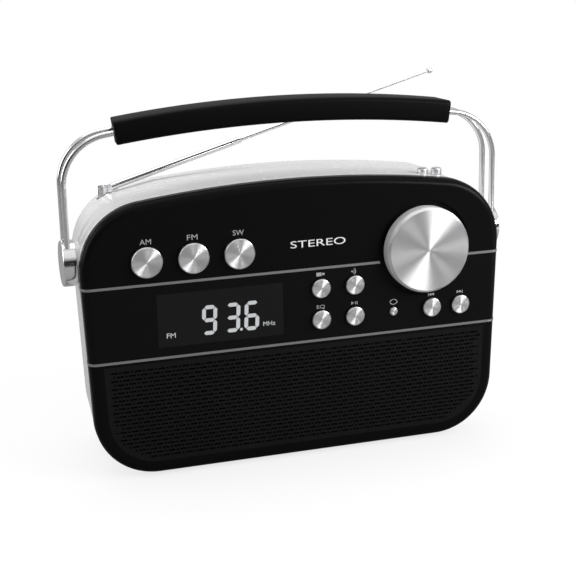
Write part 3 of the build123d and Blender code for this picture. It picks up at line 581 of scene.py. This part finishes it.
# ---------------------------------------------------------------- display
DIGIT_WIDTH = 9.0 * MM
DIGIT_HEIGHT = 17.8 * MM
SEGMENT = 2.3 * MM
SEGMENT_GAP = 0.22 * MM
DIGIT_SLANT = 0.05
DIGIT_SEGMENTS = {"9": "abcdfg", "3": "abcdg", "6": "acdefg"}
PRINT = 0.05 * MM
DIGITS_FROM_LEFT = {"9": 25.6, "3": 39.5, "6": 51.1}
DIGITS_FROM_BELOW = 4.9 * MM
POINT_FROM_LEFT = 49.4 * MM
POINT_UP = 1.2 * MM
POINT_RADIUS = 0.85 * MM
DISPLAY_WORDS = [("MHz", 66.5, 7.9, 2.6, 7.4), ("FM", 7.6, 6.9, 2.9, 5.2)]


def add_segment(bm, start, end):
    """One bar of a digit, with pointed ends."""
    way = (end - start).normalized()
    side = Vector((-way.y, way.x)) * SEGMENT / 2
    start = start + way * SEGMENT_GAP
    end = end - way * SEGMENT_GAP
    tip = way * SEGMENT / 2
    outline = [start, start + tip + side, end - tip + side, end, end - tip - side, start + tip - side]
    add_outline(bm, outline)


def add_digit(bm, digit, x, z):
    """A seven-segment digit whose lower left corner is at x, z."""
    inset = SEGMENT / 2
    left, right = x + inset, x + DIGIT_WIDTH - inset
    low, middle, top = z + inset, z + DIGIT_HEIGHT / 2, z + DIGIT_HEIGHT - inset
    bars = {
        "a": ((left, top), (right, top)),
        "b": ((right, top), (right, middle)),
        "c": ((right, middle), (right, low)),
        "d": ((left, low), (right, low)),
        "e": ((left, middle), (left, low)),
        "f": ((left, top), (left, middle)),
        "g": ((left, middle), (right, middle)),
    }
    for bar in DIGIT_SEGMENTS[digit]:
        start, end = bars[bar]
        add_segment(bm, Vector(start), Vector(end))


def make_display():
    """The lit frequency behind the window's front, with its unit and its band."""
    low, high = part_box("display_window")
    base = low[2] + DIGITS_FROM_BELOW
    bm = bmesh.new()
    for digit, offset in DIGITS_FROM_LEFT.items():
        add_digit(bm, digit, low[0] + offset * MM, base)
    dot = bmesh.ops.create_circle(bm, cap_ends=True, segments=16, radius=POINT_RADIUS)
    bmesh.ops.rotate(bm, verts=dot["verts"], matrix=Matrix.Rotation(radians(90), 3, "X"))
    bmesh.ops.translate(bm, verts=dot["verts"], vec=(low[0] + POINT_FROM_LEFT, 0, base + POINT_UP))
    for vert in bm.verts:
        vert.co.x += (vert.co.z - base) * DIGIT_SLANT
    thicken(bm, low[1] - PRINT, low[1] + PRINT)
    glow = lit("display_glow", (0.42, 0.43, 0.44), 0.55)
    finish_piece(add_piece("frequency_digits", bm), "cabinet", glow)
    for text, across, up, height, width in DISPLAY_WORDS:
        x, z = low[0] + across * MM, low[2] + up * MM
        word = lettering("display_" + text.lower(), text, x, z, height, width, low[1])
        finish_piece(word, "cabinet", glow)


# ---------------------------------------------------------------- printed labels
def lettering(name, text, x, z, height, width, front):
    """Flat letters centred on x, z, with a height and a width in millimetres."""
    curve = bpy.data.curves.new(name, "FONT")
    curve.body = text
    curve.resolution_u = 6
    holder = bpy.data.objects.new(name + "_curve", curve)
    mesh = bpy.data.meshes.new_from_object(holder)
    bpy.data.objects.remove(holder)
    bm = bmesh.new()
    bm.from_mesh(mesh)
    bpy.data.meshes.remove(mesh)
    bmesh.ops.remove_doubles(bm, verts=bm.verts[:], dist=1e-5)
    xs = [v.co.x for v in bm.verts]
    ys = [v.co.y for v in bm.verts]
    for vert in bm.verts:
        across = (vert.co.x - (min(xs) + max(xs)) / 2) / (max(xs) - min(xs))
        up = (vert.co.y - (min(ys) + max(ys)) / 2) / (max(ys) - min(ys))
        vert.co = (x + across * width * MM, 0, z + up * height * MM)
    thicken(bm, front - PRINT, front)
    return add_piece(name, bm)


def triangle(bm, x, z, width, height):
    """A triangle that points right, or left where its width is negative."""
    add_outline(bm, [(x, z - height / 2), (x + width, z), (x, z + height / 2)])


def bar(bm, x, z, width, height):
    """An upright bar centred on x, z."""
    half, up = width / 2, height / 2
    add_outline(bm, [(x - half, z - up), (x + half, z - up), (x + half, z + up), (x - half, z + up)])


def arc_band(bm, x, z, radius, width, start, end, stretch=1.0, steps=12):
    """Part of a ring, wider than high where it is stretched."""
    angles = [start + (end - start) * step / steps for step in range(steps + 1)]
    for first, second in zip(angles, angles[1:]):
        ring = [(first, radius), (second, radius), (second, radius - width), (first, radius - width)]
        add_outline(bm, [(x + r * cos(a) * stretch, z + r * sin(a)) for a, r in ring])
    bmesh.ops.remove_doubles(bm, verts=bm.verts[:], dist=1e-7)


SIGN_LINE = 0.4 * MM
SIGN_HEIGHT = 1.9 * MM
ARROW_LENGTH = 1.7 * MM
PAUSE_HEIGHT = 1.8 * MM


def play_icon(bm, x, z):
    """An arrow and two bars."""
    triangle(bm, x - 2.0 * MM, z, ARROW_LENGTH, SIGN_HEIGHT)
    for offset in (0.7, 1.7):
        bar(bm, x + offset * MM, z, SIGN_LINE, PAUSE_HEIGHT)


def skip_icon(bm, x, z, way):
    """Two arrows and a bar, to the right or to the left."""
    bar(bm, x + way * 1.8 * MM, z, SIGN_LINE, SIGN_HEIGHT)
    for offset in (1.9, 0.2):
        triangle(bm, x - way * offset * MM, z, way * ARROW_LENGTH, SIGN_HEIGHT)


def previous_icon(bm, x, z):
    skip_icon(bm, x, z, -1)


def next_icon(bm, x, z):
    skip_icon(bm, x, z, 1)


def repeat_icon(bm, x, z):
    """A ring of two curved arrows."""
    for start, end in ((20, 165), (200, 345)):
        arc_band(bm, x, z, 1.75 * MM, SIGN_LINE, radians(start), radians(end), 1.35)
    triangle(bm, x - 2.6 * MM, z + 0.1 * MM, 1.0 * MM, -0.9 * MM)
    triangle(bm, x + 2.6 * MM, z - 0.1 * MM, -1.0 * MM, -0.9 * MM)


def plug_icon(bm, x, z):
    """A plug, seen from the side."""
    bar(bm, x - 0.9 * MM, z, 3.2 * MM, 2.2 * MM)
    bar(bm, x + 1.8 * MM, z, 1.6 * MM, 1.3 * MM)


def wave_icon(bm, x, z):
    """A dot with two waves."""
    arc_band(bm, x - 1.4 * MM, z, 0.55 * MM, 0.5 * MM, 0, 2 * pi)
    for radius in (1.5, 2.5):
        arc_band(bm, x - 1.4 * MM, z, radius * MM, SIGN_LINE, radians(-55), radians(55))


# Each label stands on a button: its text or sign, its middle above the button's, and its size.
LABEL_WORDS = [
    ("am_button", "AM", 11.5, 3.1, 6.6),
    ("fm_button", "FM", 11.9, 3.1, 6.2),
    ("sw_button", "SW", 12.2, 3.1, 6.6),
    ("eq_button", "EQ", 7.4, 2.6, 5.0),
]
LABEL_SIGNS = [
    ("usb_button", plug_icon, 8.3),
    ("wireless_button", wave_icon, 8.1),
    ("play_button", play_icon, 7.8),
    ("previous_button", previous_icon, 7.8),
    ("next_button", next_icon, 7.7),
    ("repeat_button", repeat_icon, 6.0),
]
FRONT_WORD = "STEREO"
FRONT_WORD_X = 11.3 * MM
FRONT_WORD_Z = 133.6 * MM
FRONT_WORD_SIZE = (4.2, 34.0)


def make_labels():
    """The words and signs printed above the buttons, and the plain word on the front."""
    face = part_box("front_cabinet")[0][1]
    ink = moulded("label_ink", (0.34, 0.34, 0.34), (0.44, 0.44, 0.44), (0.5, 0.6), relief=0.000002)
    for node, text, above, height, width in LABEL_WORDS:
        x, z = button_centre(node)
        word = lettering("label_" + text.lower(), text, x, z + above * MM, height, width, face)
        finish_piece(word, "cabinet", ink)
    for node, draw, above in LABEL_SIGNS:
        x, z = button_centre(node)
        bm = bmesh.new()
        draw(bm, x, z + above * MM)
        thicken(bm, face - PRINT, face)
        sign = add_piece("label_" + node.replace("_button", ""), bm)
        finish_piece(sign, "cabinet", ink)
    bright = moulded("word_ink", (0.8, 0.8, 0.8), (0.9, 0.9, 0.9), (0.4, 0.5), relief=0.000002)
    word = lettering("front_word", FRONT_WORD, FRONT_WORD_X, FRONT_WORD_Z, *FRONT_WORD_SIZE, face)
    finish_piece(word, "cabinet", bright)


def button_centre(node):
    """The middle of a button, seen from the front."""
    low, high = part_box(node)
    return (low[0] + high[0]) / 2, (low[2] + high[2]) / 2


# ---------------------------------------------------------------- everything together
FRONT_BUTTONS = [
    "am_button",
    "fm_button",
    "sw_button",
    "usb_button",
    "wireless_button",
    "eq_button",
    "play_button",
    "repeat_button",
    "previous_button",
    "next_button",
]


def dress_nodes():
    """A finish for every CAD piece."""
    chrome = plated("bright_chrome", (0.82, 0.82, 0.83), (0.05, 0.12))
    steel = plated("plain_steel", (0.5, 0.5, 0.51), (0.25, 0.4))
    satin = plated("satin_metal", (0.86, 0.86, 0.87), (0.3, 0.4))
    dull_trim = plated("trim_metal", (0.36, 0.36, 0.365), (0.28, 0.4))
    dress(front_gloss(), "front_cabinet")
    silver = moulded("knob_silver", (0.5, 0.5, 0.505), (0.6, 0.6, 0.605), (0.32, 0.42))
    dress(silver, "tuning_knob")
    dress(dull_trim, "upper_trim", "lower_trim")
    dress(chrome, "left_hub", "right_hub")
    dress(plated("rod_chrome", (0.76, 0.76, 0.77), (0.16, 0.22)), "front_rod", "rear_rod")
    dress(satin, "power_button", "light_button")
    dress(chrome, "antenna_turret", "antenna_pin", "antenna_tube_1")
    dress(satin, "antenna_tube_2", "antenna_tube_3", "antenna_tube_4")
    for node in FRONT_BUTTONS + ["knob_face"]:
        low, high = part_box(node)
        dress(spun("spun_" + node, button_centre(node), (high[2] - low[2]) / 2 - WALL_BLEND), node)
    dress(
        moulded("window_smoke", (0.0075, 0.0075, 0.008), (0.0095, 0.0095, 0.01), (0.1, 0.16), shine=0.12),
        "display_window",
    )
    dress(
        moulded("shell_white", (0.74, 0.74, 0.745), (0.78, 0.78, 0.785), (0.22, 0.3)),
        "rear_cabinet",
        "battery_cover",
    )
    dark = moulded("dark_plastic", (0.012, 0.012, 0.012), (0.02, 0.02, 0.02), (0.5, 0.65), grain=500.0)
    dress(dark, "display_module", "button_switches", "knob_encoder", "aux_socket", "headphone_socket")
    dress(dark, "ferrite_clips", "port_panel")
    dress(steel, "inner_screws", "cabinet_screws", "pivot_bolts")
    dress(steel, "usb_socket", "antenna_socket", "knob_shaft")
    board = moulded("board_green", (0.01, 0.06, 0.03), (0.02, 0.1, 0.05), (0.35, 0.5), grain=300.0)
    dress(board, "control_board", "top_switch_board", "main_board")
    painted = moulded("speaker_paint", (0.02, 0.02, 0.02), (0.035, 0.035, 0.035), (0.35, 0.5))
    dress(painted, "left_speaker_frame", "right_speaker_frame", "left_speaker_magnet", "right_speaker_magnet")
    paper = moulded("cone_paper", (0.01, 0.01, 0.01), (0.02, 0.02, 0.02), (0.8, 0.95), relief=0.00006)
    dress(paper, "left_speaker_cone", "right_speaker_cone")
    dress(plated("cell_jackets", (0.35, 0.37, 0.4), (0.3, 0.45)), "battery_cells")
    dress(moulded("ferrite_grey", (0.02, 0.02, 0.02), (0.05, 0.05, 0.05), (0.6, 0.8)), "ferrite_rod")
    dress(plated("copper_wire", (0.7, 0.3, 0.12), (0.3, 0.45), (400, 1, 1)), "ferrite_coil")
    rubber = moulded("foot_rubber", (0.015, 0.015, 0.015), (0.03, 0.03, 0.03), (0.75, 0.9), grain=400.0)
    dress(rubber, "rubber_feet")
    bush = moulded("bush_plastic", (0.55, 0.55, 0.53), (0.65, 0.65, 0.63), (0.4, 0.5))
    dress(bush, "left_pivot_bush", "right_pivot_bush")


def make_radio():
    """The pieces that stand in for CAD nodes, and the prints on the front."""
    dress_nodes()
    grille = make_grille()
    paint = moulded("grille_paint", (0.0052, 0.0052, 0.0052), (0.0072, 0.0072, 0.0072), (0.4, 0.5), shine=0.1)
    finish_piece(grille, "cabinet", paint)
    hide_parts("speaker_grille")
    grip = make_grip()
    finish_piece(grip, "handle", grip_skin())
    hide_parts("grip")
    make_display()
    make_labels()


bpy.context.scene.view_settings.view_transform = "Standard"
make_camera()
make_world()
make_stage()
make_radio()
